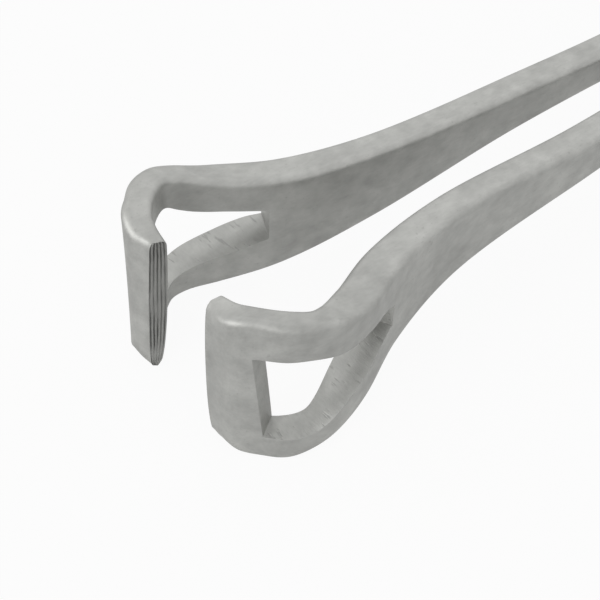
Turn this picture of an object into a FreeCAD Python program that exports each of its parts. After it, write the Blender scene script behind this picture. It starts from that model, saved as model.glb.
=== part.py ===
import FreeCAD, Part
import math
import os
import re
import Sketcher

# Ring-handled tissue forceps with fenestrated jaws that hook in at their tips.
#
# Frame: the origin is on the pivot's axis, half way through the box lock. +X runs
# to the jaws, +Z along the pivot. Each half is drawn closed, and its placement
# then swings it open by half_opening, as in the photograph.
#
# The box half has its jaw on +Y and its ring on -Y. Its lock is a slotted box.
# The tongue half is its mirror image, with a thin tongue that fills the slot.

# Driving sizes, in millimetres and degrees.
SIZES = {
    # whole instrument
    "tip_reach": 60.0,          # pivot to the front of the jaws
    "ring_reach": 100.0,        # pivot to the far end of the rings
    "half_opening": 2.37,       # each half's swing from closed
    "contact_gap": 0.10,        # between the two contact faces when closed
    # box lock
    "lock_long": 14.0,
    "lock_wide": 7.2,
    "lock_tall": 5.2,
    "lock_break": 0.4,          # softened edges of the lock's cheeks
    "shoulder_reach": 2.0,      # pivot to where a slanted shoulder meets the side
    "slot_tall": 2.0,
    "slot_reach": 4.2,          # pivot to the solid ends of the slot
    "slot_play": 0.06,          # above and below the tongue
    "shoulder_play": 0.10,      # between the slanted shoulders
    "tongue_play": 0.20,        # from the tongue to the solid ends of the slot
    "pin_radius": 1.25,
    "pin_play": 0.05,
    "pin_dome": 0.10,           # how far the riveted heads stand proud
    # jaw and arm
    "edge_break": 0.3,          # softened long edges
    "contact_thick": 0.90,
    "front_spare": 0.15,        # what the plan holds ahead of the tip before it is cut square
    "corner_start_up": 2.9,     # where the hook's rounded corners leave its front
    "corner_back": 0.30,        # and a second place on each of them, behind the tip
    "corner_back_up": 3.85,
    "pad_bow": 0.32,            # how much fuller the contact face is at mid height
    "pad_tall": 6.8,
    "pad_deep": 1.3,
    "groove_deep": 0.10,
    "groove_wide": 0.13,
    "groove_pitch": 0.22,
    "groove_count": 4,
    # window through the jaw, measured behind the tip
    "window_nose": 0.62,        # where its end wall meets the outer skin
    "window_nose_out": 2.55,
    "window_nose_lean": 60.0,   # how far that wall leans from square
    "window_apex": 8.2,
    "window_apex_out": 2.85,
    "window_apex_lean": 17.0,
    "window_nose_up": 2.3,      # heights above and below the middle plane
    "window_nose_down": 3.05,
    "window_step": 1.9,
    "window_step_up": 2.25,
    "window_step_down": 2.5,
    "window_waist": 4.2,
    "window_waist_tall": 1.46,
    "window_apex_tall": 1.0,
    # root of each arm and shank, inside the lock
    "root_sink": 0.6,
    "root_inset": 0.15,
    "root_gap": 0.70,           # from the middle plane
    # shank and ring
    "shank_break": 0.9,         # softened long edges of the shank
    "joint_inset": 0.15,        # how far inside the ring's wire each side of it ends
    "ring_long": 32.0,
    "ring_wide": 26.0,
    "ring_wire": 3.6,
    "ring_end_radius": 9.6,     # centre line of the oval's rounder ends
    "ring_gap": 6.4,            # between the two rings when closed
    "ring_tilt": 9.0,
    "ring_joint": 52.0,         # how far round from its near end the shank joins
    # ratchet bars
    "ratchet_reach": 62.0,      # behind the pivot
    "ratchet_wide": 6.4,
    "ratchet_past": 3.0,        # how far each bar passes the middle plane
    "ratchet_tall": 1.75,
    "ratchet_play": 0.05,       # from a tooth's crest to the middle
    "ratchet_round": 0.8,
    "tooth_pitch": 1.25,
    "tooth_deep": 0.6,
    "tooth_count": 4,
}

# Stations along the jaw and arm: distance behind the tip, distance out from the middle
# plane, the way the metal runs, thickness and height. Those without a height lie in the
# hook, where the brow and the rounded corners set it.
JAW_STATIONS = {
    "lip": (0.72, 1.36, 104.0, 1.02),
    "brow": (1.14, 2.37, 120.5, 1.14, 8.95),
    "corner": (1.82, 3.10, 145.0, 1.17),
    "crown": (2.78, 3.50, 166.0, 1.16, 8.00),
    "bend": (4.05, 3.44, 189.0, 1.36, 7.30),
    "slope": (5.65, 2.89, 198.5, 1.58, 6.66),
    "ramp": (8.70, 1.83, 198.5, 1.70, 5.60),
    "neck": (13.96, 0.90, 182.0, 1.46, 4.26),
    "limb": (24.0, 1.12, 178.5, 1.58, 2.55),
    "shaft": (36.0, 1.12, 179.5, 1.60, 2.40),
}

# The same sizes for the stations ahead of and behind the lock, the first of them
# measured from the pivot.
FORE_STATIONS = {
    "fore": (13.0, 1.72, 182.0, 2.40, 4.10),
}
SHANK_STATIONS = {
    "throat": (-12.0, 1.90, 181.0, 2.9, 4.3),
    "calf": (-28.0, 3.00, 185.0, 2.8, 3.6),
    "ankle": (-46.0, 4.90, 186.0, 3.0, 3.4),
    "heel": (-62.0, 6.50, 184.0, 3.4, 3.5),
}
STATION_SIZES = ("along", "out", "turn", "thick", "tall")

OVERRUN = "1"            # how far a cut runs past the metal

# Stands a flat sketch up, so that it faces -Y.
FACE_SIDE = "rotation(vector(1; 0; 0); 90)"

vector = FreeCAD.Vector
doc = FreeCAD.newDocument("BabcockForceps")
sheet = doc.addObject("Spreadsheet::Sheet", "sizes")


def fill_sheet():
    """Write each named size to its own cell, beside its name."""
    cells = dict(SIZES)
    for stations in (JAW_STATIONS, FORE_STATIONS, SHANK_STATIONS):
        for station, numbers in stations.items():
            for suffix, number in zip(STATION_SIZES, numbers):
                cells[station + "_" + suffix] = number
    for row, (name, number) in enumerate(cells.items(), start=1):
        sheet.set("A%d" % row, name)
        sheet.set("B%d" % row, str(number))
        sheet.setAlias("B%d" % row, name)
    doc.recompute()


def bound(formula):
    """A formula of plain size names, written with the sheet's cells."""
    return re.sub(r"\b(?!sqrt\b|cos\b|sin\b|tan\b)[a-z][a-z_]+\b", r"sizes.\g<0>", formula)


def value(formula):
    """What a formula of size names comes to, for a sketch's first guess."""
    return float(sheet.evalExpression(bound(formula)))


def mirrored(side, formula):
    """The formula itself for the box half, and its negative for the tongue half."""
    return formula if side > 0 else "-1 * (" + formula + ")"


def place(item, along="0", across="0", up="0", turn="0", facing=None):
    """Bind a placement to the sheet: a turn about Z after the sketch is stood up."""
    stand = " * " + facing if facing else ""
    item.setExpression("Placement", "placement(vector(%s; %s; %s); rotation(vector(0; 0; 1); %s)%s)" % (
        bound(along), bound(across), bound(up), bound(turn), stand))


def measure(sketch, kind, where, formula):
    """A measured constraint, bound to the sheet."""
    index = sketch.addConstraint(Sketcher.Constraint(kind, *where, value(formula)))
    sketch.setExpression("Constraints[%d]" % index, bound(formula))


def relate(sketch, kind, *where):
    """A constraint without a measure."""
    sketch.addConstraint(Sketcher.Constraint(kind, *where))


def outline(sketch, corners):
    """A straight-sided outline through corners, each a pair of formulas."""
    points = [vector(value(across), value(up), 0) for across, up in corners]
    first = sketch.GeometryCount
    count = len(points)
    for index, point in enumerate(points):
        sketch.addGeometry(Part.LineSegment(point, points[(index + 1) % count]), False)
    for index in range(count):
        relate(sketch, "Coincident", first + index, 2, first + (index + 1) % count, 1)
    for index, (across, up) in enumerate(corners):
        measure(sketch, "DistanceX", (-1, 1, first + index, 1), across)
        measure(sketch, "DistanceY", (-1, 1, first + index, 1), up)


def banded(name, upper, lower, facing=None):
    """A sketch of two smooth curves, joined at both ends by a straight line."""
    sketch = doc.addObject("Sketcher::SketchObject", name)
    place(sketch, facing=facing)
    upper = [vector(along, across, 0) for along, across in upper]
    lower = [vector(along, across, 0) for along, across in lower]
    for run in (upper, lower):
        curve = Part.BSplineCurve()
        curve.interpolate(run)
        sketch.addGeometry(curve, False)
    for start, end in ((upper[-1], lower[0]), (lower[-1], upper[0])):
        sketch.addGeometry(Part.LineSegment(start, end), False)
    return sketch


def named_station(station, along, numbers):
    """A station's sizes by name, at a place along the instrument."""
    return (along,) + tuple("%s_%s" % (station, size) for size in STATION_SIZES[1:len(numbers)])


def root_station(along):
    """Where an arm or a shank is forged into the lock."""
    return (along, "(lock_wide / 2 - root_inset + root_gap) / 2", "180",
            "(lock_wide / 2 - root_inset - root_gap)", "(lock_tall - 2 * root_inset)")


def pushed(name, sketch, direction, length):
    """A sketch pushed both ways along a direction, by a bound length in all."""
    item = doc.addObject("Part::Extrusion", name)
    item.Base = sketch
    item.DirMode = "Custom"
    item.Dir = direction
    item.Solid = True
    item.Symmetric = True
    item.setExpression("LengthFwd", bound(length))
    return item


def combined(kind, name, shapes):
    """Several solids fused, or what they have in common."""
    item = doc.addObject(kind, name)
    item.Shapes = shapes
    return item


def broken_edges(name, solid, size):
    """A bar with its four long edges broken."""
    body = doc.addObject("PartDesign::Body", name)
    body.BaseFeature = solid
    doc.recompute()
    base = body.Group[0]
    longest = sorted(range(len(base.Shape.Edges)), key=lambda index: -base.Shape.Edges[index].Length)
    chamfer = body.newObject("PartDesign::Chamfer", name + "_edges")
    chamfer.Base = (base, ["Edge%d" % (index + 1) for index in sorted(longest[:4])])
    chamfer.setExpression("Size", bound(size))
    body.Tip = chamfer
    return body


def outlined_bar(side, name, stations, size, nose=()):
    """A bar with the plan and the side outline of its stations, and broken long edges."""
    outer, inner = [], []
    top = [(value(along), value(up)) for along, up in nose]
    for along, out, turn, thick, *tall in stations:
        x = value(along)
        y = value(out)
        angle = math.radians(value(turn))
        half = value(thick) / 2
        outer.append((x + half * math.sin(angle), side * (y - half * math.cos(angle))))
        inner.append((x - half * math.sin(angle), side * (y + half * math.cos(angle))))
        if tall:
            top.append((x, value(tall[0]) / 2))
    below = [(x, -z) for x, z in reversed(top)]
    plan = banded(name + "_plan", outer, inner[::-1])
    profile = banded(name + "_side", top, below, FACE_SIDE)
    blank = combined("Part::MultiCommon", name + "_blank", [
        pushed(name + "_plan_solid", plan, vector(0, 0, 1), "2 * brow_tall"),
        pushed(name + "_side_solid", profile, vector(0, 1, 0), "2 * lock_long")])
    return broken_edges(name, blank, size)


def window_cutter(side, half):
    """What the jaw's window takes away: its plan and its side outline in common."""
    nose = ("tip_reach - window_nose", "window_nose_out")
    apex = ("tip_reach - window_apex", "window_apex_out")
    ahead = "window_step * sin(window_nose_lean)"
    down = "window_step * cos(window_nose_lean)"
    plan = doc.addObject("Sketcher::SketchObject", half + "_window_plan")
    corners = (
        ("%s + %s" % (nose[0], ahead), "%s + %s" % (nose[1], down)),
        ("%s - %s" % (nose[0], ahead), "%s - %s" % (nose[1], down)),
        ("%s + (window_apex_out - contact_gap) * tan(window_apex_lean)" % apex[0], "contact_gap"),
        ("%s - window_apex_out * tan(window_apex_lean)" % apex[0], "2 * window_apex_out"),
        ("%s + %s" % (nose[0], ahead), "2 * window_apex_out"),
    )
    outline(plan, [(across, mirrored(side, up)) for across, up in corners])
    plan_solid = pushed(half + "_window_plan_solid", plan, vector(0, 0, 1), "2 * brow_tall")
    back = "tip_reach - window_apex - " + OVERRUN
    upper = (
        ("tip_reach + " + OVERRUN, "window_nose_up"),
        ("tip_reach - window_step", "window_step_up"),
        ("tip_reach - window_waist", "window_waist_tall"),
        ("tip_reach - window_apex", "window_apex_tall"),
        (back, "window_apex_tall"),
    )
    lower = (
        (back, "-1 * window_apex_tall"),
        ("tip_reach - window_apex", "-1 * window_apex_tall"),
        ("tip_reach - window_waist", "-1 * window_waist_tall"),
        ("tip_reach - window_step", "-1 * window_step_down"),
        ("tip_reach + " + OVERRUN, "-1 * window_nose_down"),
    )
    runs = [[(value(along), value(up)) for along, up in run] for run in (upper, lower)]
    profile = banded(half + "_window_side", runs[0], runs[1], FACE_SIDE)
    side_solid = pushed(half + "_window_side_solid", profile, vector(0, 1, 0), "4 * window_apex_out")
    return combined("Part::MultiCommon", half + "_window_cutter", [plan_solid, side_solid])


def contact_pad(side, half):
    """The swelling behind the contact face, which makes that face leaf-shaped."""
    wall = "tip_reach - contact_thick"
    pad = doc.addObject("PartDesign::Body", half + "_pad")
    sketch = body_sketch(pad, half + "_pad_sketch", "XZ_Plane")
    top = vector(value(wall), value("pad_tall / 2"), 0)
    middle = vector(value(wall + " - pad_bow"), 0, 0)
    foot = vector(top.x, -top.y, 0)
    sketch.addGeometry(Part.Arc(top, middle, foot), False)
    ahead = value(wall + " + contact_thick / 2")
    corners = (foot, vector(ahead, foot.y, 0), vector(ahead, top.y, 0), top)
    for start, end in zip(corners, corners[1:]):
        sketch.addGeometry(Part.LineSegment(start, end), False)
    for index in range(4):
        relate(sketch, "Coincident", index, 2, (index + 1) % 4, 1)
    relate(sketch, "Horizontal", 1)
    relate(sketch, "Vertical", 2)
    relate(sketch, "Horizontal", 3)
    relate(sketch, "PointOnObject", 0, 3, -1)
    measure(sketch, "DistanceX", (-1, 1, 0, 1), wall)
    measure(sketch, "DistanceY", (0, 2, 0, 1), "pad_tall")
    measure(sketch, "DistanceX", (-1, 1, 1, 2), wall + " + contact_thick / 2")
    measure(sketch, "Radius", (0,), "(pad_tall^2 / 4 + pad_bow^2) / (2 * pad_bow)")
    middle_out = mirrored(-side, "(contact_gap + pad_deep) / 2")
    sketch.setExpression("AttachmentOffset.Base.z", bound(middle_out))
    both_ways(pad, "Pad", half + "_pad_solid", sketch, "pad_deep")
    return pad


def jaw_and_arm(side, half):
    """One jaw with its arm: hook, window, neck and slender limb, down to the lock."""
    # the plan starts ahead of the tip, where the side outline then cuts it square
    stations = [("tip_reach + (front_spare - contact_thick) / 2", "contact_gap / 2", "90",
                 "(contact_thick + front_spare)")]
    stations += [named_station(station, "tip_reach - %s_along" % station, numbers)
                 for station, numbers in JAW_STATIONS.items()]
    stations += [named_station(station, station + "_along", numbers)
                 for station, numbers in FORE_STATIONS.items()]
    stations.append(root_station("lock_long / 2 - root_sink"))
    corners = [("tip_reach", "corner_start_up"), ("tip_reach - corner_back", "corner_back_up")]
    arm = outlined_bar(side, half + "_arm", stations, "edge_break", corners)
    padded = combined("Part::MultiFuse", half + "_padded_arm", [arm, contact_pad(side, half)])
    cut = doc.addObject("Part::Cut", half + "_windowed_arm")
    cut.Base = padded
    cut.Tool = window_cutter(side, half)
    return cut


def ring_measures():
    """The finger ring's centre line, as formulas: half sizes and its centre."""
    return {
        "long": "(ring_long - ring_wire) / 2",
        "wide": "(ring_wide - ring_wire) / 2",
        "along": "(ring_long / 2 - ring_reach)",
        "out": "(ring_gap / 2 + ring_wide / 2)",
    }


def finger_ring(side, half):
    """A round wire swept round an oval of four arcs, tilted with the shank."""
    ring = ring_measures()
    long = value(ring["long"])
    wide = value(ring["wide"])
    end_radius = value("ring_end_radius")
    flat_radius = "((%s)^2 + (%s)^2 - 2 * (%s) * ring_end_radius) / (2 * (%s - ring_end_radius))" % (
        ring["long"], ring["wide"], ring["long"], ring["wide"])
    side_radius = value(flat_radius)
    swing = math.atan2(side_radius - wide, long - end_radius)
    path = doc.addObject("Sketcher::SketchObject", half + "_ring_path")
    arcs = (
        (end_radius - long, 0, end_radius, math.pi, math.pi + swing),
        (0, side_radius - wide, side_radius, math.pi + swing, 2 * math.pi - swing),
        (long - end_radius, 0, end_radius, -swing, swing),
        (0, wide - side_radius, side_radius, swing, math.pi - swing),
        (end_radius - long, 0, end_radius, math.pi - swing, math.pi),
    )
    for x, y, radius, start, end in arcs:
        circle = Part.Circle(vector(x, y, 0), vector(0, 0, 1), radius)
        path.addGeometry(Part.ArcOfCircle(circle, start, end), False)
    for arc in range(4):
        relate(path, "Tangent", arc, 2, arc + 1, 1)
    measure(path, "Radius", (0,), "ring_end_radius")
    measure(path, "Radius", (1,), flat_radius)
    measure(path, "DistanceX", (0, 3, -1, 1), "%s - ring_end_radius" % ring["long"])
    where = dict(along=ring["along"], across=mirrored(-side, ring["out"]),
                 turn=mirrored(side, "ring_tilt"))
    place(path, **where)
    wire = doc.addObject("Sketcher::SketchObject", half + "_ring_wire")
    wire.addGeometry(Part.Circle(vector(-long, 0, 0), vector(0, 0, 1), value("ring_wire / 2")), False)
    measure(wire, "Radius", (0,), "ring_wire / 2")
    measure(wire, "DistanceX", (0, 3, -1, 1), ring["long"])
    relate(wire, "PointOnObject", 0, 3, -1)
    place(wire, facing=FACE_SIDE, **where)
    ring_solid = doc.addObject("Part::Sweep", half + "_ring")
    ring_solid.Sections = [wire]
    ring_solid.Spine = (path, [])
    ring_solid.Solid = True
    ring_solid.Frenet = True
    return ring_solid


def shank(side, half):
    """The handle's shank, from the lock to where it runs into the ring's wire."""
    ring = ring_measures()
    stations = [root_station("root_sink - lock_long / 2")]
    stations += [named_station(station, station + "_along", numbers)
                 for station, numbers in SHANK_STATIONS.items()]
    front = "(%s - ring_end_radius)" % ring["long"]
    reach = (front + " + ring_end_radius * cos(ring_joint)", "ring_end_radius * sin(ring_joint)")
    along = "%s + (%s) * cos(ring_tilt) - %s * sin(ring_tilt)" % (ring["along"], reach[0], reach[1])
    out = "%s - (%s) * sin(ring_tilt) - %s * cos(ring_tilt)" % (ring["out"], reach[0], reach[1])
    end = "ring_wire - 2 * joint_inset"
    stations.append((along, out, "180", end, end))
    return outlined_bar(-side, half + "_shank", stations, "shank_break")


def origin_part(body, role):
    """One of the body's own origin planes or axes."""
    return [item for item in body.Origin.OriginFeatures if item.Role == role][0]


def body_sketch(body, name, role):
    """A sketch on one of the body's own origin planes."""
    sketch = body.newObject("Sketcher::SketchObject", name)
    sketch.AttachmentSupport = [(origin_part(body, role), "")]
    sketch.MapMode = "FlatFace"
    return sketch


def both_ways(body, kind, name, sketch, length):
    """A Pad or a Pocket to both sides of its sketch, by a bound length in all."""
    feature = body.newObject("PartDesign::" + kind, name)
    feature.Profile = sketch
    feature.SideType = "Symmetric"
    feature.setExpression("Length", bound(length))
    body.Tip = feature
    return feature


def break_flat_edges(body, name, feature, height, size):
    """Break every edge that lies flat at the given height above or below the middle."""
    doc.recompute()
    level = value(height)
    edges = []
    for index, edge in enumerate(feature.Shape.Edges, start=1):
        box = edge.BoundBox
        if abs(box.ZMax - box.ZMin) < 1e-6 and abs(abs(box.ZMax) - level) < 1e-6:
            edges.append("Edge%d" % index)
    chamfer = body.newObject("PartDesign::Chamfer", name)
    chamfer.Base = (feature, edges)
    chamfer.setExpression("Size", bound(size))
    body.Tip = chamfer


def bore(body, side_radius):
    """The pin's hole through the lock."""
    sketch = body_sketch(body, body.Name + "_bore_sketch", "XY_Plane")
    sketch.addGeometry(Part.Circle(vector(), vector(0, 0, 1), value(side_radius)), False)
    relate(sketch, "Coincident", 0, 3, -1, 1)
    measure(sketch, "Radius", (0,), side_radius)
    both_ways(body, "Pocket", body.Name + "_bore", sketch, "lock_tall + 2 * " + OVERRUN)


def box_lock(side, half):
    """The slotted box: a block with slanted ends, open to both sides for the tongue."""
    body = doc.addObject("PartDesign::Body", half + "_lock")
    block_plan = body_sketch(body, half + "_block_plan", "XY_Plane")
    corners = (
        ("lock_long / 2", "lock_wide / 2"),
        ("lock_long / 2", "0"),
        ("shoulder_reach", "-1 * lock_wide / 2"),
        ("-1 * lock_long / 2", "-1 * lock_wide / 2"),
        ("-1 * lock_long / 2", "0"),
        ("-1 * shoulder_reach", "lock_wide / 2"),
    )
    outline(block_plan, [(along, mirrored(side, across)) for along, across in corners])
    block = both_ways(body, "Pad", half + "_block", block_plan, "lock_tall")
    break_flat_edges(body, half + "_block_edges", block, "lock_tall / 2", "lock_break")
    slot_plan = body_sketch(body, half + "_slot_plan", "XY_Plane")
    end = "lock_long / 2 + " + OVERRUN
    edge = "lock_wide / 2 + " + OVERRUN
    corners = (
        (end, "0"),
        ("slot_reach", "0"),
        ("slot_reach", edge),
        ("-1 * (%s)" % end, edge),
        ("-1 * (%s)" % end, "0"),
        ("-1 * slot_reach", "0"),
        ("-1 * slot_reach", "-1 * (%s)" % edge),
        (end, "-1 * (%s)" % edge),
    )
    outline(slot_plan, [(along, mirrored(side, across)) for along, across in corners])
    both_ways(body, "Pocket", half + "_slot", slot_plan, "slot_tall")
    bore(body, "pin_radius")
    return body


def tongue_lock(side, half):
    """The thin tongue with a full-height shoulder at each end, clear of the box."""
    body = doc.addObject("PartDesign::Body", half + "_lock")
    slant = "sqrt((lock_long / 2 - shoulder_reach)^2 + (lock_wide / 2)^2)"
    # how far the play moves the slanted shoulder at the lock's end and at its side
    drop = "shoulder_play * %s / (lock_long / 2 - shoulder_reach)" % slant
    shift = "(shoulder_reach + shoulder_play * %s / (lock_wide / 2))" % slant
    shoulder_plan = body_sketch(body, half + "_shoulder_plan", "XY_Plane")
    for sign in ("1", "-1"):
        corners = (
            ("%s * lock_long / 2" % sign, "%s * %s" % (sign, drop)),
            ("%s * lock_long / 2" % sign, "%s * lock_wide / 2" % sign),
            ("%s * %s" % (sign, shift), "%s * lock_wide / 2" % sign),
        )
        outline(shoulder_plan, [(along, mirrored(side, across)) for along, across in corners])
    tongue_plan = body_sketch(body, half + "_tongue_plan", "XY_Plane")
    neck = "(slot_reach - tongue_play)"
    corners = []
    for sign in ("1", "-1"):
        corners += [
            ("%s * %s" % (sign, neck), "%s * %s" % (sign, drop)),
            ("%s * lock_long / 2" % sign, "%s * %s" % (sign, drop)),
            ("%s * lock_long / 2" % sign, "%s * lock_wide / 2" % sign),
            ("%s * %s" % (sign, shift), "%s * lock_wide / 2" % sign),
        ]
    outline(tongue_plan, [(along, mirrored(side, across)) for along, across in corners])
    both_ways(body, "Pad", half + "_tongue", tongue_plan, "slot_tall - 2 * slot_play")
    doc.recompute()
    shoulders = both_ways(body, "Pad", half + "_shoulders", shoulder_plan, "lock_tall")
    break_flat_edges(body, half + "_shoulder_edges", shoulders, "lock_tall / 2", "lock_break")
    bore(body, "pin_radius + pin_play")
    return body


def ratchet_bar(side, half):
    """The bar that reaches over to the other shank, with its free corners rounded."""
    body = doc.addObject("PartDesign::Body", half + "_ratchet")
    plan = body_sketch(body, half + "_ratchet_plan", "XY_Plane")
    near = "-1 * ratchet_reach + ratchet_wide / 2"
    far = "-1 * ratchet_reach - ratchet_wide / 2"
    corners = ((near, "-1 * heel_out"), (near, "ratchet_past"), (far, "ratchet_past"), (far, "-1 * heel_out"))
    outline(plan, [(along, mirrored(side, across)) for along, across in corners])
    plan.setExpression("AttachmentOffset.Base.z", bound(
        mirrored(side, "(ratchet_tall + ratchet_play) / 2")))
    bar = both_ways(body, "Pad", half + "_bar", plan, "ratchet_tall - ratchet_play")
    doc.recompute()
    tip = side * value("ratchet_past")
    upright = []
    for index, edge in enumerate(bar.Shape.Edges, start=1):
        box = edge.BoundBox
        if box.YMax - box.YMin < 1e-6 and box.XMax - box.XMin < 1e-6 and abs(box.YMax - tip) < 1e-6:
            upright.append("Edge%d" % index)
    fillet = body.newObject("PartDesign::Fillet", half + "_bar_corners")
    fillet.Base = (bar, upright)
    fillet.setExpression("Radius", bound("ratchet_round"))
    body.Tip = fillet
    return body


def row_of_cuts(body, name, role, corners, length, axis, reverse, pitch, count):
    """A small cut, repeated in a row along one of the body's axes."""
    sketch = body_sketch(body, name + "_sketch", role)
    outline(sketch, corners)
    cut = both_ways(body, "Pocket", name, sketch, length)
    doc.recompute()
    row = body.newObject("PartDesign::LinearPattern", name + "_row")
    row.Originals = [cut]
    row.Direction = (origin_part(body, axis), [""])
    row.Reversed = reverse
    row.Mode = "Spacing"
    row.setExpression("Offset", bound(pitch))
    row.setExpression("Occurrences", bound(count))
    body.Tip = row
    return sketch


def finished_half(side, half, lock):
    """Fuse one half's forging, cut its contact grooves and ratchet teeth, and swing it open."""
    forging = combined("Part::MultiFuse", half + "_forging", [
        lock, jaw_and_arm(side, half), shank(side, half), finger_ring(side, half),
        ratchet_bar(side, half)])
    body = doc.addObject("PartDesign::Body", half)
    body.BaseFeature = forging
    doc.recompute()

    # grooves along the contact face, from its front edge back
    face = "contact_gap / 2"
    middle = "tip_reach - contact_thick / 2 + groove_pitch * (groove_count - 1) / 2"
    corners = (
        ("%s - groove_wide" % middle, "%s - groove_deep" % face),
        ("%s + groove_wide" % middle, "%s - groove_deep" % face),
        (middle, "%s + groove_deep" % face),
    )
    corners = [(along, mirrored(side, across)) for along, across in corners]
    row_of_cuts(body, half + "_groove", "XY_Plane", corners, "2 * brow_tall", "X_Axis", True,
                "groove_pitch", "groove_count")

    # saw teeth on the face that looks at the other bar, steep on the shank's side
    crest = "ratchet_play"
    start = "ratchet_past"
    corners = (
        (start, "%s - %s" % (crest, OVERRUN)),
        (start, crest),
        ("%s - tooth_pitch" % start, "%s + tooth_deep" % crest),
        ("%s - tooth_pitch" % start, "%s - %s" % (crest, OVERRUN)),
    )
    corners = [(mirrored(side, across), mirrored(side, up)) for across, up in corners]
    sketch = row_of_cuts(body, half + "_tooth", "YZ_Plane", corners, "ratchet_wide + 2 * " + OVERRUN,
                         "Y_Axis", side > 0, "tooth_pitch", "tooth_count")
    sketch.setExpression("AttachmentOffset.Base.z", bound("-1 * ratchet_reach"))
    place(body, turn=mirrored(side, "half_opening"))
    return body


def pivot_pin():
    """The rivet: a straight shaft with a shallow dome at each end, turned in one piece."""
    body = doc.addObject("PartDesign::Body", "pivot_pin")
    sketch = body_sketch(body, "pin_profile", "XZ_Plane")
    radius = value("pin_radius")
    end = value("lock_tall / 2")
    dome = value("pin_dome")
    sketch.addGeometry(Part.LineSegment(vector(0, -end - dome, 0), vector(0, end + dome, 0)), False)
    rise = (radius ** 2 + dome ** 2) / (2 * dome)
    for sign in (1, -1):
        drop = rise - math.sqrt(rise ** 2 - (radius / 2) ** 2)
        half_chord = vector(radius / 2, sign * (end + dome - drop), 0)
        top = vector(0, sign * (end + dome), 0)
        rim = vector(radius, sign * end, 0)
        ends = (top, rim) if sign > 0 else (rim, top)
        sketch.addGeometry(Part.Arc(ends[0], half_chord, ends[1]), False)
    sketch.addGeometry(Part.LineSegment(vector(radius, end, 0), vector(radius, -end, 0)), False)
    revolution = body.newObject("PartDesign::Revolution", "pin_turned")
    revolution.Profile = sketch
    revolution.ReferenceAxis = (sketch, ["V_Axis"])
    revolution.Angle = 360
    body.Tip = revolution
    place(body, turn="half_opening")
    return body


def check(items):
    """Stop if anything failed to build."""
    for item in doc.Objects:
        if "Invalid" in item.State or "Error" in item.State:
            raise RuntimeError("%s did not build: %s" % (item.Name, item.State))
    for item in items:
        if item.Shape.isNull() or not item.Shape.isValid() or len(item.Shape.Solids) != 1:
            raise RuntimeError("%s is not one valid solid" % item.Label)


fill_sheet()
box_half = finished_half(1, "box_half", box_lock(1, "box_half"))
tongue_half = finished_half(-1, "tongue_half", tongue_lock(-1, "tongue_half"))
pin = pivot_pin()
doc.recompute()

parts = [box_half, tongue_half, pin]
check(parts)
os.makedirs("parts", exist_ok=True)
for part in parts:
    part.Shape.exportStep("parts/%s.step" % part.Label)
    box = part.Shape.BoundBox
    print("%s: %.1f x %.1f x %.1f mm, %.0f mm3" % (
        part.Label, box.XLength, box.YLength, box.ZLength, part.Shape.Volume))
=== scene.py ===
import math

import bmesh
import bpy
from mathutils import Matrix, Vector


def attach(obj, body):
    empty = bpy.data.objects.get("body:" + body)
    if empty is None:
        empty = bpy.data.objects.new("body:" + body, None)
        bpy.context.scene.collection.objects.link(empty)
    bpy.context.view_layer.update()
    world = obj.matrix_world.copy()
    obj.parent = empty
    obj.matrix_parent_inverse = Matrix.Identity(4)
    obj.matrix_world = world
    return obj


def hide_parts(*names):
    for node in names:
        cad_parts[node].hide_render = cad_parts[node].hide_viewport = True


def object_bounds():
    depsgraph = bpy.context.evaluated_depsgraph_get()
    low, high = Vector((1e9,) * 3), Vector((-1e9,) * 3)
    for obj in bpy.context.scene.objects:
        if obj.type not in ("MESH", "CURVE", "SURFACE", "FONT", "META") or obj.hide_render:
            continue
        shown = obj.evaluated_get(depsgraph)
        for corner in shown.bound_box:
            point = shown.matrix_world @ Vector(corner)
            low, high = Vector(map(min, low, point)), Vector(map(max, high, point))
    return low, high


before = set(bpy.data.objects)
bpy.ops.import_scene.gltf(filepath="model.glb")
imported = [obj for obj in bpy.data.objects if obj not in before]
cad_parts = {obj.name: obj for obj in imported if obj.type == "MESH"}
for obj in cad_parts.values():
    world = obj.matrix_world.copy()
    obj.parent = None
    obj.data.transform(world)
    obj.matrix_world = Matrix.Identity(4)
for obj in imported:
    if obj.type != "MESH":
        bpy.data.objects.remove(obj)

# Tissue forceps in satin steel, seen close at the open jaws. Two smoother pieces stand for
# each half's solid: the jaw with its arm, and the handle with its lock.

bl_info = {
    "name": "Tissue forceps",
    "version": (1, 0, 0),
    "blender": (4, 5, 0),
    "location": "View3D > Sidebar > Forceps",
    "description": "Builds satin steel tissue forceps round their solids",
    "category": "Add Mesh",
}

MM = 0.001
CAD_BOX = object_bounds()
# Each half is drawn in millimetres as it lies in the closed forceps, with the pivot at the
# centre and the tip along X. At rest it is turned out by half of the opening.
HALF_OPENING = math.radians(2.37)
TIP = 60.0
SIDES = {"box": 1, "tongue": -1}
# The handle takes over from the arm this far ahead of the pivot, inside the lock.
HANDLE_FRONT = 7.02

# Stations along one arm, from the contact face back to the lock, in millimetres and
# degrees: behind the tip, out from the middle plane, the way the metal runs, thickness.
ARM_STATIONS = (
    (0.17, 0.05, 90.0, 1.36),
    (0.36, 1.21, 110.5, 1.46),
    (1.28, 2.36, 116.0, 1.38),
    (1.96, 3.03, 146.5, 1.40),
    (2.86, 3.46, 169.0, 1.32),
    (3.79, 3.48, 194.0, 1.50),
    (5.65, 2.92, 203.0, 1.83),
    (8.76, 1.72, 203.0, 1.89),
    (13.76, 0.93, 185.0, 1.66),
    (24.1, 1.10, 181.0, 1.76),
    (35.8, 1.15, 183.5, 1.90),
    (47.0, 1.72, 182.0, 2.40),
    (53.6, 2.08, 180.0, 2.75),
)
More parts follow.
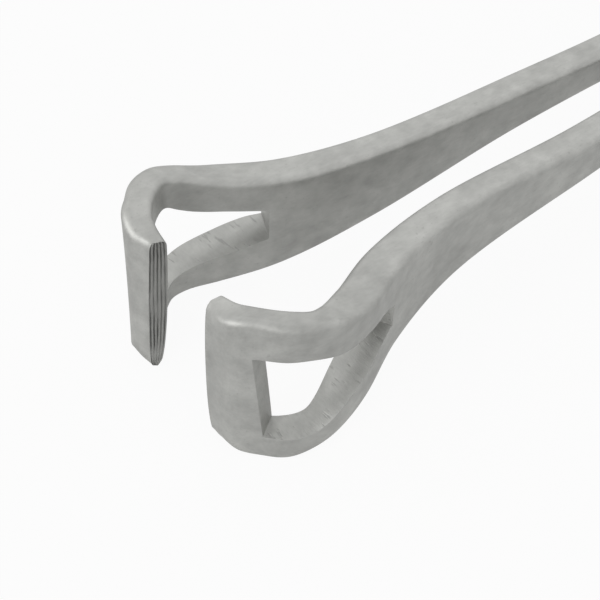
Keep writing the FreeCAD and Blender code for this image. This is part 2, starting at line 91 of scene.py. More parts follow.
# The side view: distance behind the tip, then the outline above and below the middle.
ARM_HEIGHTS = (
    (-0.75, 4.20, 2.80),
    (-0.6, 4.40, 3.30),
    (-0.45, 4.53, 3.92),
    (-0.25, 4.58, 4.26),
    (0.05, 4.60, 4.43),
    (0.4, 4.56, 4.53),
    (0.9, 4.46, 4.58),
    (1.5, 4.36, 4.48),
    (2.1, 4.27, 4.30),
    (2.78, 4.14, 4.10),
    (4.05, 3.66, 3.78),
    (5.65, 3.10, 3.55),
    (8.70, 2.65, 2.95),
    (13.96, 2.26, 2.11),
    (24.0, 1.34, 1.26),
    (36.0, 1.05, 1.05),
    (47.0, 2.05, 2.05),
    (53.6, 2.45, 2.45),
)
# The window's edges in the side view: behind the tip, then above and below the middle.
# Past the window's apex they only space the points.
WINDOW_HEIGHTS = (
    (-1.0, 2.5, 2.95),
    (0.6, 2.5, 2.98),
    (2.2, 2.45, 2.95),
    (4.2, 1.65, 2.05),
    (6.0, 1.25, 1.5),
    (7.6, 0.9, 1.0),
    (8.6, 0.4, 0.95),
    (14.0, 0.5, 0.9),
    (24.0, 0.5, 0.5),
    (36.0, 0.5, 0.5),
    (47.0, 1.0, 1.0),
    (53.6, 1.2, 1.2),
)
# The window runs from the station of its end wall to that of its apex. Its end wall leans
# towards the tip as it rises, by a part of a station for each millimetre, and on the inner
# face it starts a little nearer the tip. The upper edge is drafted up towards that face,
# and the draft fades out before its last station.
WINDOW_ENDS = (1.78, 6.8)
WINDOW_LEAN = 0.055
WINDOW_INNER_START = 0.12
WINDOW_DRAFT = 0.2
DRAFT_LAST = 5.5
DRAFT_FADE = 2.0
# The hook's own shape fades out by this station. The two hooks were finished by hand, so
# they differ a little: how much further back each contact face stands, how far it leans
# forwards for each millimetre downwards, and how far the hook's top falls on its way there.
HOOK_LAST = 2.0
HOOK_BACK = {1: 0.0, -1: 0.2}
HOOK_LEAN = {1: 0.0, -1: 0.07}
HOOK_DROP = {1: 0.12, -1: 0.95}
# The contact face is leaf-shaped: its half height, how square its outline is, its thickness
# at its upper and lower ends over that at its middle, how many stations the hook's front (1)
# and back (-1) follow it for, and how wide its front is over the metal behind it.
LEAF_HALF_TALL = 4.4
LEAF_SQUARENESS = 2.2
LEAF_TAPERS = (0.6, 0.42)
LEAF_REACHES = {1: 0.7, -1: 2.0}
LEAF_FRONTS = {1: 1.0, -1: 0.55}
# The most that a window takes of the outline's height, and a rounded edge of the half
# thickness.
WINDOW_MOST = 0.8
ROUND_MOST = 0.9

# How finely the arm is divided, how many rounds find a point's height, and the shortest
# distance that counts.
COLUMNS_PER_STATION = 14
STEPS_PER_OUTLINE_ROW = 8
STRIPS = 32
CORNER_STEPS = 5
BAND_ROWS = 5
WINDOW_ROWS = 10
HEIGHT_ROUNDS = 3
SHORTEST = 1e-6

# Edges sharper than these are rounded on the jaws, or stay crisp on the handles.
RIM_ANGLE = math.radians(50)
CREASE_ANGLE = math.radians(24)

# Noise in cells to the metre, along the metal, outwards and upwards.
CLOUDS = (330.0, 420.0, 420.0)
BLOTCHES = (1100.0, 1500.0, 1500.0)
GRAIN = (1800.0, 9000.0, 9000.0)
SPECKS = (6000.0, 6000.0, 6000.0)
WINDOW_CLOUDS = (700.0, 900.0, 700.0)
CUTTER_MARKS = (7000.0, 1500.0, 7000.0)
CUTTER_SCRATCHES = (5200.0, 900.0, 5200.0)
GRAIN_HEIGHT = 0.03 * MM
# Each steel's darkest and lightest blotches, and its dark marks, over its own colour.
SATIN_TONES = (0.82, 1.16)
STAIN_TONE = 0.45
# The darkest tone, towards which the contact face is made darker and the grooves get painted
# shade.
DARK_CONTACT_AND_GROOVE_SHADE_TONE = 0.30
MILLED_TONES = (0.84, 1.18)
SCRATCH_TONE = 0.35
MILLED_GRAIN = 0.7

# The filed grooves: the cells to the metre and the reach of their wander across the face,
# how steep they are and the flat between them, then the same for how their depth varies.
WANDER_CELLS = 420.0
WANDER = 0.22
GROOVE_STEEP = 3.4
GROOVE_FLAT = 0.7
FADE_CELLS = 700.0
FADE_STEEP = 2.2
FADE_FLAT = 0.35

# The stage: how far below the part the floor is, the floor's size in metres, and the
# dome's strength where it lights the part.
FLOOR_GAP = 0.05 * MM
FLOOR_SIZE = 1.5
DOME_STRENGTH = 0.55
WHITE = (1.0, 1.0, 1.0, 1.0)


class Value:
    """A shader socket that takes Python's arithmetic."""

    def __init__(self, shader, socket):
        self.shader = shader
        self.socket = socket

    def _math(self, operation, *inputs):
        node = self.shader.add("ShaderNodeMath", {"operation": operation}, inputs)
        return Value(self.shader, node.outputs[0])

    def __add__(self, other):
        return self._math("ADD", self, other)

    def __radd__(self, other):
        return self._math("ADD", other, self)

    def __sub__(self, other):
        return self._math("SUBTRACT", self, other)

    def __rsub__(self, other):
        return self._math("SUBTRACT", other, self)

    def __mul__(self, other):
        return self._math("MULTIPLY", self, other)

    def __rmul__(self, other):
        return self._math("MULTIPLY", other, self)

    def above(self, level, width):
        """0 below a level and 1 above it, over a width."""
        return ((self - (level - width / 2)) * (1 / width)).held()

    def held(self):
        """Kept between 0 and 1."""
        return self._math("MINIMUM", self._math("MAXIMUM", self, 0.0), 1.0)


class Shader:
    """The node tree of a material or a world, filled by one method."""

    def __init__(self, name, owner=None):
        self.owner = owner or bpy.data.materials.new(name)
        self.owner.use_nodes = True
        self.tree = self.owner.node_tree
        self.tree.nodes.clear()

    def add(self, kind, settings=None, values=()):
        """A node with its settings made first, then the values or links of its sockets."""
        node = self.tree.nodes.new(kind)
        for name, setting in (settings or {}).items():
            setattr(node, name, setting)
        pairs = values.items() if isinstance(values, dict) else enumerate(values)
        for key, given in pairs:
            given = given.socket if isinstance(given, Value) else given
            if isinstance(given, bpy.types.NodeSocket):
                self.tree.links.new(given, node.inputs[key])
            else:
                node.inputs[key].default_value = given
        return node

    def noise(self, cells, detail=3.0, roughness=0.55):
        """Noise about 0.5 on object coordinates, with its cells to the metre on each axis."""
        where = self.add("ShaderNodeTexCoord").outputs["Object"]
        stretched = self.add("ShaderNodeMapping", None, {"Vector": where, "Scale": cells})
        node = self.add("ShaderNodeTexNoise", None, {
            "Vector": stretched.outputs["Vector"], "Scale": 1.0,
            "Detail": detail, "Roughness": roughness})
        return Value(self, node.outputs["Fac"])

    def attribute(self, name):
        """A number kept on the mesh's points."""
        node = self.add("ShaderNodeAttribute", {"attribute_name": name})
        return Value(self, node.outputs["Fac"])

    def mixed(self, factor, first, second):
        """Two colours, mixed by a factor that varies."""
        node = self.add("ShaderNodeMix", {"data_type": "RGBA"}, {0: factor, 6: first, 7: second})
        return node.outputs[2]

    def finished(self, surface, output="ShaderNodeOutputMaterial"):
        """The material or the world, with its surface linked to its output."""
        self.add(output, None, {"Surface": surface})
        return self.owner


def toned(colour, share):
    """A colour made darker or lighter by a share."""
    return tuple(min(1.0, part * share) for part in colour[:3]) + (1.0,)


def metal(shader, colour, height, rough, grain):
    """A metal surface from its colour, height map, roughness and the strength of its grain."""
    bump = shader.add("ShaderNodeBump", None, {
        "Strength": grain, "Distance": GRAIN_HEIGHT, "Height": height})
    steel = shader.add("ShaderNodeBsdfPrincipled", None, {
        "Base Color": colour, "Metallic": 1.0, "Roughness": rough,
        "Normal": bump.outputs["Normal"]})
    return shader.finished(steel.outputs["BSDF"])


def satin_steel(name, colour, grain):
    """Satin steel: fine grain along the metal, soft blotches, a darker contact face and painted
    shade in the filed grooves.
    """
    shader = Shader(name)
    cloud = shader.noise(CLOUDS, detail=5.0)
    blotch = shader.noise(BLOTCHES)
    fine = shader.noise(GRAIN)
    speck = shader.noise(SPECKS, detail=2.0)
    stain = speck.above(0.68, 0.10) * cloud.above(0.50, 0.20)
    # The contact face is made darker overall, and painted shade is laid in the grooves by their
    # depth.
    contact_dark_and_groove_shade = shader.attribute("leaf") * 0.28 + shader.attribute("groove") * 0.42
    mottle = (cloud - 0.5) * 1.7 + (blotch - 0.5) * 1.2 + (fine - 0.5) * 0.6 + 0.5
    dark, light = [toned(colour, tone) for tone in SATIN_TONES]
    body = shader.mixed(mottle.held(), dark, light)
    marked = shader.mixed((stain * 0.25).held(), body, toned(colour, STAIN_TONE))
    # Mix in the darker contact face and the painted shade in the grooves.
    contact_dark_and_groove_shaded = shader.mixed(contact_dark_and_groove_shade.held(), marked, toned(colour, DARK_CONTACT_AND_GROOVE_SHADE_TONE))
    height = fine * 0.6 + speck * 0.25 + cloud * 0.8
    rough = (0.44 + cloud * 0.14 + fine * 0.08).held()
    return metal(shader, contact_dark_and_groove_shaded, height, rough, grain)


def milled_steel(name, colour):
    """The window's walls: rougher, with fine cutter marks across them and dark scratches."""
    shader = Shader(name)
    cloud = shader.noise(WINDOW_CLOUDS, detail=4.0)
    marks = shader.noise(CUTTER_MARKS, detail=4.0, roughness=0.7)
    scratch = shader.noise(CUTTER_SCRATCHES, detail=2.0).above(0.66, 0.06)
    mottle = (cloud - 0.5) * 1.6 + (marks - 0.5) * 0.9 + 0.5
    dark, light = [toned(colour, tone) for tone in MILLED_TONES]
    body = shader.mixed(mottle.held(), dark, light)
    scored = shader.mixed((scratch * 0.3).held(), body, toned(colour, SCRATCH_TONE))
    height = marks - scratch * 0.6
    rough = (0.46 + marks * 0.12).held()
    return metal(shader, scored, height, rough, MILLED_GRAIN)


def smooth_point(points, position):
    """A point on the smooth curve through some points, at a position counted in points."""
    last = len(points) - 1
    index = max(0, min(last - 1, int(position)))
    t = position - index
    start, end = points[index], points[index + 1]
    before = points[index - 1] if index else [2 * a - b for a, b in zip(start, end)]
    after = points[index + 2] if index + 2 <= last else [2 * b - a for a, b in zip(start, end)]
    pairs = ((before, start), (start, end), (end, after))
    spans = [max(math.dist(a[:2], b[:2]) ** 0.5, SHORTEST) for a, b in pairs]
    made = []
    for a, b, c, d in zip(before, start, end, after):
        first = (b - a) / spans[0] - (c - a) / (spans[0] + spans[1]) + (c - b) / spans[1]
        final = (c - b) / spans[1] - (d - b) / (spans[1] + spans[2]) + (d - c) / spans[2]
        first *= spans[1]
        final *= spans[1]
        made.append((2 * t ** 3 - 3 * t ** 2 + 1) * b + (t ** 3 - 2 * t ** 2 + t) * first
                    + (3 * t ** 2 - 2 * t ** 3) * c + (t ** 3 - t ** 2) * final)
    return made


def part_way(first, last, share):
    """A point part of the way from one point to another."""
    return tuple(a + (b - a) * share for a, b in zip(first, last))


class SideOutline:
    """Heights above and below the middle, read by distance behind the tip."""

    def __init__(self, rows):
        count = (len(rows) - 1) * STEPS_PER_OUTLINE_ROW
        places = [step / STEPS_PER_OUTLINE_ROW for step in range(count)]
        self.points = [smooth_point(rows, place) for place in places] + [rows[-1]]

    def at(self, behind):
        """The heights above and below at a distance behind the tip."""
        points = self.points
        if behind <= points[0][0]:
            return points[0][1], points[0][2]
        for low, high in zip(points, points[1:]):
            if behind <= high[0]:
                share = (behind - low[0]) / max(high[0] - low[0], SHORTEST)
                return part_way(low[1:], high[1:], share)
        return points[-1][1], points[-1][2]


def eased(value):
    """0 to 1 with no sudden start or stop."""
    value = max(0.0, min(1.0, value))
    return value * value * (3 - 2 * value)


def placed(side, along, out, up):
    """A point of one half's closed drawing, in metres in the part's frame at rest."""
    turn = Matrix.Rotation(side * HALF_OPENING, 3, "Z")
    return turn @ Vector((along, side * out, up)) * MM


def hook_share(station):
    """1 at the contact face, falling to 0 where the hook ends."""
    return 1.0 - eased(station / HOOK_LAST)


def set_back(side, station, along, up):
    """A hook's place along the half, once its own set and lean are taken off."""
    return along - hook_share(station) * (HOOK_BACK[side] + HOOK_LEAN[side] * up)


def leaf_shaped(side, station, along, up, middle):
    """A hook's place along the half, drawn in to the leaf-shaped contact face."""
    forward = along > middle
    near = 1.0 - eased(station / LEAF_REACHES[1 if forward else -1])
    taper = LEAF_TAPERS[0 if up > 0 else 1]
    share = min(1.0, abs(up) / LEAF_HALF_TALL)
    fullness = math.sqrt(max(0.0, 1.0 - share ** LEAF_SQUARENESS))
    thin = taper + (1.0 - taper) * fullness
    if forward:
        thin *= LEAF_FRONTS[side]
    return middle + (along - middle) * (1.0 - near * (1.0 - thin))


def arm_stations():
    """Evenly spread stations, with the nearest ones moved onto the window's ends."""
    count = (len(ARM_STATIONS) - 1) * COLUMNS_PER_STATION
    stations = [step / COLUMNS_PER_STATION for step in range(count + 1)]
    for end in WINDOW_ENDS:
        nearest = min(range(len(stations)), key=lambda index: abs(stations[index] - end))
        stations[nearest] = end
    return stations


def arm_rows():
    """The rows of points down one face: which zone each is in, and its share of the zone."""
    rows = [("top_corner", step / CORNER_STEPS) for step in range(CORNER_STEPS)]
    rows += [("top_band", step / BAND_ROWS) for step in range(BAND_ROWS)]
    rows += [("window", step / WINDOW_ROWS) for step in range(WINDOW_ROWS)]
    rows += [("low_band", step / BAND_ROWS) for step in range(BAND_ROWS)]
    rows += [("low_corner", step / CORNER_STEPS) for step in range(CORNER_STEPS + 1)]
    return rows


def row_place(zone, share, heights, window, radius):
    """How far in from the face a row is, and its height."""
    above, below = heights
    window_above, window_below = window
    if zone == "top_corner":
        angle = (1.0 - share) * math.pi / 2
        return radius * (1.0 - math.cos(angle)), above - radius * (1.0 - math.sin(angle))
    if zone == "low_corner":
        angle = share * math.pi / 2
        return radius * (1.0 - math.cos(angle)), -below + radius * (1.0 - math.sin(angle))
    if zone == "top_band":
        top = above - radius
        return 0.0, top + (window_above - top) * share
    if zone == "window":
        return 0.0, window_above + (-window_below - window_above) * share
    low = -(below - radius)
    return 0.0, -window_below + (low + window_below) * share


def arm_point(side, station, face, row, outlines, radius):
    """A point on the outer face (1) or the inner face (-1): along, out and up.

    The outline's height at a point depends on how far along it is, and the end wall's lean
    on its height, so both are found together in a few rounds.
    """
    zone, share = row
    by_wall = math.exp(-(station - WINDOW_ENDS[0]) ** 2) * eased(station / WINDOW_ENDS[0])
    lean = WINDOW_LEAN * by_wall
    if face < 0:
        station -= WINDOW_INNER_START * by_wall
    up = 0.0
    for _ in range(HEIGHT_ROUNDS):
        behind, out, turn, thick = smooth_point(ARM_STATIONS, max(0.0, station - lean * up))
        angle = math.radians(turn)
        middle = TIP - behind
        half = thick / 2
        along = middle + face * half * math.sin(angle)
        along = set_back(side, station, leaf_shaped(side, station, along, up, middle), up)
        above, below = outlines[0].at(TIP - along)
        heights = (above - HOOK_DROP[side] * hook_share(station), below)
        above, below = outlines[1].at(TIP - along)
        draft = WINDOW_DRAFT * eased((DRAFT_LAST - station) / DRAFT_FADE)
        window = (above - face * draft, below)
        window = tuple(min(cut, WINDOW_MOST * whole) for cut, whole in zip(window, heights))
        inward, up = row_place(zone, share, heights, window, min(radius, ROUND_MOST * half))
    across = face * (half - inward)
    along = leaf_shaped(side, station, middle + across * math.sin(angle), up, middle)
    return set_back(side, station, along, up), out - across * math.cos(angle), up


class ArmGrid:
    """The mesh of one jaw and arm: columns of points, one round each station's section."""

    def __init__(self, side, radius):
        self.side = side
        self.made = bmesh.new()
        self.across = self.made.verts.layers.float.new("across")
        self.leaf = self.made.verts.layers.float.new("leaf")
        self.milled = self.made.faces.layers.float.new("milled")
        self.stations = arm_stations()
        self.rows = arm_rows()
        self.outer, self.inner, self.top, self.low = [], [], [], []
        outlines = (SideOutline(ARM_HEIGHTS), SideOutline(WINDOW_HEIGHTS))
        for station in self.stations:
            self.add_column(station, outlines, radius)
        self.add_sides()
        self.add_end_walls()
        self.add_end(0, contact=True)
        self.add_end(len(self.stations) - 1, contact=False)

    def corner(self, point):
        """A mesh point from a point of the closed drawing."""
        return self.made.verts.new(placed(self.side, *point))

    def add_column(self, station, outlines, radius):
        """The points round one station's section."""
        points = {}
        for face in (1, -1):
            points[face] = [arm_point(self.side, station, face, row, outlines, radius)
                            for row in self.rows]
        self.outer.append([self.corner(point) for point in points[1]])
        self.inner.append([self.corner(point) for point in points[-1]])
        for lines, index in ((self.top, 0), (self.low, -1)):
            ends = (points[1][index], points[-1][index])
            strip = [self.corner(part_way(*ends, step / STRIPS)) for step in range(1, STRIPS)]
            lines.append([self.outer[-1][index]] + strip + [self.inner[-1][index]])

    def quad(self, lines, line, step):
        """The face between two neighbouring lines of points."""
        this, following = lines[line], lines[line + 1]
        corners = (this[step], following[step], following[step + 1], this[step + 1])
        self.made.faces.new(corners)

    def wall(self, first, second):
        """One face through the metal, from the outer face to the inner one."""
        corners = [self.outer[column][row] for column, row in (first, second)]
        corners += [self.inner[column][row] for column, row in (second, first)]
        self.made.faces.new(corners)[self.milled] = 1.0

    def window_span(self):
        """The window's columns and rows, each from its first to its last."""
        columns = [self.stations.index(end) for end in WINDOW_ENDS]
        first_row = CORNER_STEPS + BAND_ROWS
        return columns, (first_row, first_row + WINDOW_ROWS)

    def add_sides(self):
        """The outer and inner faces with the window left open, the top and the underside."""
        (first_column, last_column), (first_row, last_row) = self.window_span()
        for column in range(len(self.stations) - 1):
            in_window = first_column <= column < last_column
            for row in range(len(self.rows) - 1):
                if not (in_window and first_row <= row < last_row):
                    self.quad(self.outer, column, row)
                    self.quad(self.inner, column, row)
            for lines in (self.top, self.low):
                for step in range(STRIPS):
                    self.quad(lines, column, step)
            if in_window:
                for row in (first_row, last_row):
                    self.wall((column, row), (column + 1, row))

    def add_end_walls(self):
        """The window's walls at the nose and at the apex."""
        columns, (first_row, last_row) = self.window_span()
        for column in columns:
            for row in range(first_row, last_row):
                self.wall((column, row), (column, row + 1))

    def add_end(self, column, contact):
        """The face at one end of the arm, with its shares noted if it is the contact face."""
        lines = [self.top[column]]
        for row in range(1, len(self.rows) - 1):
            first, last = self.outer[column][row], self.inner[column][row]
            strip = [self.made.verts.new(first.co.lerp(last.co, step / STRIPS))
                     for step in range(1, STRIPS)]
            lines.append([first] + strip + [last])
        lines.append(self.low[column])
        for line in range(len(lines) - 1):
            for step in range(STRIPS):
                self.quad(lines, line, step)
        if contact:
            for line in lines[1:-1]:
                for step, point in enumerate(line):
                    point[self.across] = step / STRIPS
                    point[self.leaf] = 1.0 if 0 < step < STRIPS else 0.0


def windowed_arm(name, side, radius):
    """One jaw with its window and its arm, with smooth faces."""
    made = ArmGrid(side, radius).made
    bmesh.ops.recalc_face_normals(made, faces=made.faces)
    for face in made.faces:
        face.smooth = True
    return mesh_object(name, made)


def mesh_object(name, made):
    """A finished mesh as an object at the origin."""
    mesh = bpy.data.meshes.new(name)
    made.to_mesh(mesh)
    made.free()
    thing = bpy.data.objects.new(name, mesh)
    bpy.context.scene.collection.objects.link(thing)
    return thing


def baked(thing):
    """Turn a piece with its modifiers into a plain mesh."""
    graph = bpy.context.evaluated_depsgraph_get()
    mesh = bpy.data.meshes.new_from_object(thing.evaluated_get(graph))
    thing.modifiers.clear()
    thing.data = mesh
    return thing


def filed_grooves():
    """Geometry nodes that file fine grooves along the contact face and set the steels."""
    tree = bpy.data.node_groups.new("filed_grooves", "GeometryNodeTree")
    sockets = tree.interface
    sockets.new_socket("Geometry", in_out="INPUT", socket_type="NodeSocketGeometry")
    for name, kind in (("Grooves", "Float"), ("Depth", "Float"), ("Into the face", "Vector"),
                       ("Steel", "Material"), ("Milled steel", "Material")):
        sockets.new_socket(name, in_out="INPUT", socket_type="NodeSocket" + kind)
    sockets.new_socket("Geometry", in_out="OUTPUT", socket_type="NodeSocketGeometry")

    def add(kind, settings=None, values=None):
        node = tree.nodes.new(kind)
        for name, setting in (settings or {}).items():
            setattr(node, name, setting)
        for key, value in (values or {}).items():
            if isinstance(value, bpy.types.NodeSocket):
                tree.links.new(value, node.inputs[key])
            else:
                node.inputs[key].default_value = value
        return node

    def maths(operation, first, second):
        return add("ShaderNodeMath", {"operation": operation}, {0: first, 1: second}).outputs[0]

    def noise(scale, detail):
        values = {"Scale": scale, "Detail": detail}
        return add("ShaderNodeTexNoise", {"noise_dimensions": "3D"}, values).outputs[0]

    def attribute(name):
        kind = "GeometryNodeInputNamedAttribute"
        return add(kind, {"data_type": "FLOAT"}, {"Name": name}).outputs[0]

    given = add("NodeGroupInput").outputs
    # The grooves wander a little across the face.
    wander = maths("SUBTRACT", noise(WANDER_CELLS, 3.0), 0.5)
    across = maths("ADD", attribute("across"), maths("MULTIPLY", wander, WANDER))
    wave = maths("PINGPONG", maths("MULTIPLY", across, given["Grooves"]), 0.5)
    cut = maths("SUBTRACT", maths("MULTIPLY", wave, GROOVE_STEEP), GROOVE_FLAT)
    cut = maths("MINIMUM", maths("MAXIMUM", cut, 0.0), 1.0)
    # They are cut deeper in some places than in others.
    fade = maths("MULTIPLY", noise(FADE_CELLS, 2.0), FADE_STEEP)
    fade = maths("SUBTRACT", fade, FADE_FLAT)
    cut = maths("MULTIPLY", maths("MULTIPLY", cut, fade), attribute("leaf"))
    depth = maths("MULTIPLY", cut, given["Depth"])
    offset = add("ShaderNodeVectorMath", {"operation": "SCALE"}, {
        0: given["Into the face"], "Scale": depth})
    moved = add("GeometryNodeSetPosition", None, {
        "Geometry": given["Geometry"], "Offset": offset.outputs[0]})
    # The groove's depth is kept as "groove", which the steel uses to paint shade into the
    # grooves.
    noted = add("GeometryNodeStoreNamedAttribute", {"data_type": "FLOAT", "domain": "POINT"}, {
        "Geometry": moved.outputs[0], "Name": "groove", "Value": cut})
    real = add("GeometryNodeRealizeInstances", None, {"Geometry": noted.outputs[0]})
    steel = add("GeometryNodeSetMaterial", None, {
        "Geometry": real.outputs[0], "Material": given["Steel"]})
    milled = add("GeometryNodeSetMaterial", None, {
        "Geometry": steel.outputs[0], "Material": given["Milled steel"],
        "Selection": maths("GREATER_THAN", attribute("milled"), 0.5)})
    add("NodeGroupOutput", None, {"Geometry": milled.outputs[0]})
    return tree


def set_inputs(modifier, values):
    """Set a geometry nodes modifier's inputs by their names in its tree."""
    for socket in modifier.node_group.interface.items_tree:
        if socket.in_out == "INPUT" and socket.name in values:
            modifier[socket.identifier] = values[socket.name]


def finish_piece(thing, body, node):
    """Tie a piece to its body and hide the node that it stands for."""
    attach(thing, body)
    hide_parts(node)


class ForcepsSettings(bpy.types.PropertyGroup):
    """Sizes and colours that a user would change."""

    edge_round: bpy.props.FloatProperty(
        name="Edge rounding", description="Radius of the arms' softened long edges",
        default=0.36 * MM, subtype="DISTANCE", unit="LENGTH", precision=5)
    rim_round: bpy.props.FloatProperty(
        name="Rim rounding", description="Width of the worn edge round the windows",
        default=0.07 * MM, subtype="DISTANCE", unit="LENGTH", precision=5)
    grooves: bpy.props.FloatProperty(
        name="Grooves", description="How many grooves cross the contact face",
        default=5.0, min=1.0)
    groove_depth: bpy.props.FloatProperty(
        name="Groove depth", description="How deep the filed grooves are",
        default=0.12 * MM, subtype="DISTANCE", unit="LENGTH", precision=5)
    steel: bpy.props.FloatVectorProperty(
        name="Steel colour", description="Colour of the satin steel",
        default=(0.445, 0.447, 0.43, 1.0), subtype="COLOR", size=4, min=0.0, max=1.0)
    pin_steel: bpy.props.FloatVectorProperty(
        name="Pin colour", description="Colour of the pivot's steel",
        default=(0.46, 0.46, 0.45, 1.0), subtype="COLOR", size=4, min=0.0, max=1.0)
    floor: bpy.props.FloatVectorProperty(
        name="Floor colour", description="Colour of the floor",
        default=(0.93, 0.93, 0.93, 1.0), subtype="COLOR", size=4, min=0.0, max=1.0)
    grain: bpy.props.FloatProperty(
        name="Grain", description="How strongly the halves' steel shows its grain",
        default=0.35, min=0.0, max=1.0, subtype="FACTOR")
    pin_grain: bpy.props.FloatProperty(
        name="Pin grain", description="How strongly the pin's steel shows its grain",
        default=0.2, min=0.0, max=1.0, subtype="FACTOR")


class FORCEPS_OT_jaws(bpy.types.Operator):
    """Build both jaws with their windows and arms"""

    bl_idname = "forceps.jaws"
    bl_label = "Jaws and arms"

    def execute(self, context):
        settings = context.scene.forceps
        tree = filed_grooves()
        for half, side in SIDES.items():
            jaw = windowed_arm(half + "_jaw", side, settings.edge_round / MM)
            contact_dark_and_groove_shade = jaw.modifiers.new("grooves", "NODES")
            contact_dark_and_groove_shade.node_group = tree
            set_inputs(contact_dark_and_groove_shade, {
                "Grooves": settings.grooves,
                "Depth": settings.groove_depth,
                "Into the face": placed(side, 0.0, 1.0, 0.0).normalized(),
                "Steel": satin_steel(half + "_jaw_steel", settings.steel, settings.grain),
                "Milled steel": milled_steel(half + "_window_steel", settings.steel),
            })
            soften = jaw.modifiers.new("soften", "BEVEL")
            soften.limit_method = "ANGLE"
            soften.angle_limit = RIM_ANGLE
            soften.width = settings.rim_round
            soften.segments = 2
            baked(jaw)
            if not jaw.data.polygons:
                raise RuntimeError("the jaw came out empty")
            finish_piece(jaw, half + "_body", half + "_half")
        return {"FINISHED"}


class FORCEPS_OT_handles(bpy.types.Operator):
    """Build both handles with their lock, ratchet and ring"""

    bl_idname = "forceps.handles"
    bl_label = "Handles and lock"

    def execute(self, context):
        settings = context.scene.forceps
        for half, side in SIDES.items():
            made = bmesh.new()
            made.from_mesh(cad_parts[half + "_half"].data)
            bmesh.ops.remove_doubles(made, verts=made.verts, dist=SHORTEST)
            bmesh.ops.bisect_plane(
                made, geom=made.verts[:] + made.edges[:] + made.faces[:], clear_outer=True,
                plane_co=placed(side, HANDLE_FRONT, 0.0, 0.0),
                plane_no=placed(side, 1.0, 0.0, 0.0).normalized())
            cut = [edge for edge in made.edges if edge.is_boundary]
            bmesh.ops.holes_fill(made, edges=cut)
            bmesh.ops.recalc_face_normals(made, faces=made.faces)
            if not made.faces:
                raise RuntimeError("the handle came out empty")
            for face in made.faces:
                face.smooth = True
            for edge in made.edges:
                edge.smooth = edge.is_boundary or edge.calc_face_angle(0.0) < CREASE_ANGLE
            handle = mesh_object(half + "_handle", made)
            steel = satin_steel(half + "_handle_steel", settings.steel, settings.grain)
            handle.data.materials.append(steel)
            finish_piece(handle, half + "_body", half + "_half")
        return {"FINISHED"}


class FORCEPS_OT_pin(bpy.types.Operator):
    """Give the pivot pin its steel"""

    bl_idname = "forceps.pin"
    bl_label = "Pivot pin"

    def execute(self, context):
        settings = context.scene.forceps
        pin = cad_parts["pivot_pin"]
        pin.data.materials.clear()
        steel = satin_steel("pin_steel", settings.pin_steel, settings.pin_grain)
        pin.data.materials.append(steel)
        return {"FINISHED"}


def seen_share(shader, by_camera, by_gloss):
    """How much plain white shows to the camera, and in glossy and clear surfaces."""
    seen = shader.add("ShaderNodeLightPath").outputs
    glossy = Value(shader, seen["Is Glossy Ray"]) + Value(shader, seen["Is Transmission Ray"])
    return (Value(shader, seen["Is Camera Ray"]) * by_camera + glossy * by_gloss).held()


def floor_paint(colour):
    """A pale floor that keeps the shadow, and is white where nothing shades it."""
    shader = Shader("floor_paint")
    matt = shader.add("ShaderNodeBsdfDiffuse", None, {"Color": tuple(colour)})
    plain = shader.add("ShaderNodeEmission", None, {"Color": WHITE, "Strength": 1.0})
    share = seen_share(shader, by_camera=0.93, by_gloss=0.45)
    mixed = shader.add("ShaderNodeMixShader", None, (share, matt.outputs[0], plain.outputs[0]))
    return shader.finished(mixed.outputs[0])


def add_dome(context):
    """A soft white dome, brighter where it is looked at than where it lights the part."""
    world = bpy.data.worlds.new("studio")
    context.scene.world = world
    shader = Shader("studio", world)
    lighting = {"Color": WHITE, "Strength": DOME_STRENGTH}
    soft = shader.add("ShaderNodeBackground", None, lighting)
    plain = shader.add("ShaderNodeBackground", None, {"Color": WHITE, "Strength": 1.0})
    share = seen_share(shader, by_camera=1.0, by_gloss=1.0)
    mixed = shader.add("ShaderNodeMixShader", None, (share, soft.outputs[0], plain.outputs[0]))
    shader.finished(mixed.outputs[0], "ShaderNodeOutputWorld")


def add_lamp(context, name, offset, size, power):
    """A round lamp at an offset from the jaws, in metres and watts, which looks at them."""
    lamp = bpy.data.lights.new(name, "AREA")
    lamp.shape = "DISK"
    lamp.size = size
    lamp.energy = power
    thing = bpy.data.objects.new(name, lamp)
    thing.location = Vector((TIP, 0.0, 0.0)) * MM + offset
    thing.rotation_euler = (-offset).to_track_quat("-Z", "Y").to_euler()
    context.scene.collection.objects.link(thing)


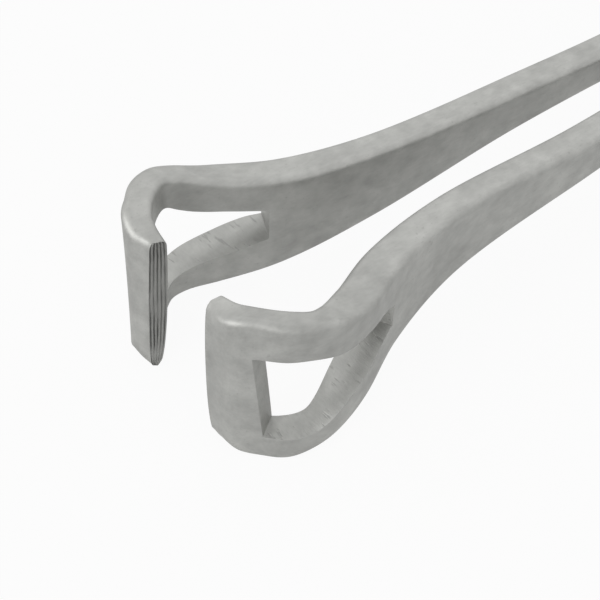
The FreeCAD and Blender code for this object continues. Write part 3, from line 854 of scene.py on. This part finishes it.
def add_camera(context):
    """The photograph's viewing angle: near the open jaws, above them and to one side."""
    place = Vector((82.3156, 33.9695, 45.0938)) * MM
    aim = Vector((54.313, 1.653, 0.0)) * MM
    roll = math.radians(1.70)
    camera = bpy.data.cameras.new("close_view")
    camera.sensor_width = 36.0
    camera.lens = 80.07
    camera.clip_start = 1.0 * MM
    camera.clip_end = 10.0
    back = (place - aim).normalized()
    right = Vector((0.0, 0.0, 1.0)).cross(back).normalized()
    up = back.cross(right)
    turned = Matrix((right, up, back)).transposed() @ Matrix.Rotation(roll, 3, "Z")
    thing = bpy.data.objects.new("close_view", camera)
    thing.matrix_world = Matrix.Translation(place) @ turned.to_4x4()
    context.scene.collection.objects.link(thing)
    context.scene.camera = thing
    context.scene.view_settings.view_transform = "Standard"


class FORCEPS_OT_stage(bpy.types.Operator):
    """Build the floor, the light and the camera"""

    bl_idname = "forceps.stage"
    bl_label = "Stage"

    def execute(self, context):
        just_below = CAD_BOX[0].z - FLOOR_GAP
        made = bmesh.new()
        bmesh.ops.create_grid(made, x_segments=1, y_segments=1, size=FLOOR_SIZE)
        bmesh.ops.translate(made, vec=(0.0, 0.0, just_below), verts=made.verts)
        floor = mesh_object("floor", made)
        floor.data.materials.append(floor_paint(context.scene.forceps.floor))
        add_dome(context)
        add_lamp(context, "key", Vector((-0.20, -0.22, 0.36)), size=0.50, power=0.12)
        add_lamp(context, "fill", Vector((0.42, 0.06, 0.08)), size=0.40, power=0.9)
        add_camera(context)
        return {"FINISHED"}


class FORCEPS_PT_panel(bpy.types.Panel):
    """The forceps' sizes, colours and pieces"""

    bl_idname = "FORCEPS_PT_panel"
    bl_label = "Tissue forceps"
    bl_space_type = "VIEW_3D"
    bl_region_type = "UI"
    bl_category = "Forceps"

    def draw(self, context):
        for name in ForcepsSettings.__annotations__:
            self.layout.prop(context.scene.forceps, name)
        for operator in OPERATORS:
            self.layout.operator(operator.bl_idname)


OPERATORS = (FORCEPS_OT_jaws, FORCEPS_OT_handles, FORCEPS_OT_pin, FORCEPS_OT_stage)
CLASSES = (ForcepsSettings,) + OPERATORS + (FORCEPS_PT_panel,)


def register():
    for each in CLASSES:
        bpy.utils.register_class(each)
    bpy.types.Scene.forceps = bpy.props.PointerProperty(type=ForcepsSettings)


def unregister():
    del bpy.types.Scene.forceps
    for each in reversed(CLASSES):
        bpy.utils.unregister_class(each)


def main():
    register()
    bpy.ops.forceps.jaws()
    bpy.ops.forceps.handles()
    bpy.ops.forceps.pin()
    bpy.ops.forceps.stage()


if __name__ == "__main__":
    main()
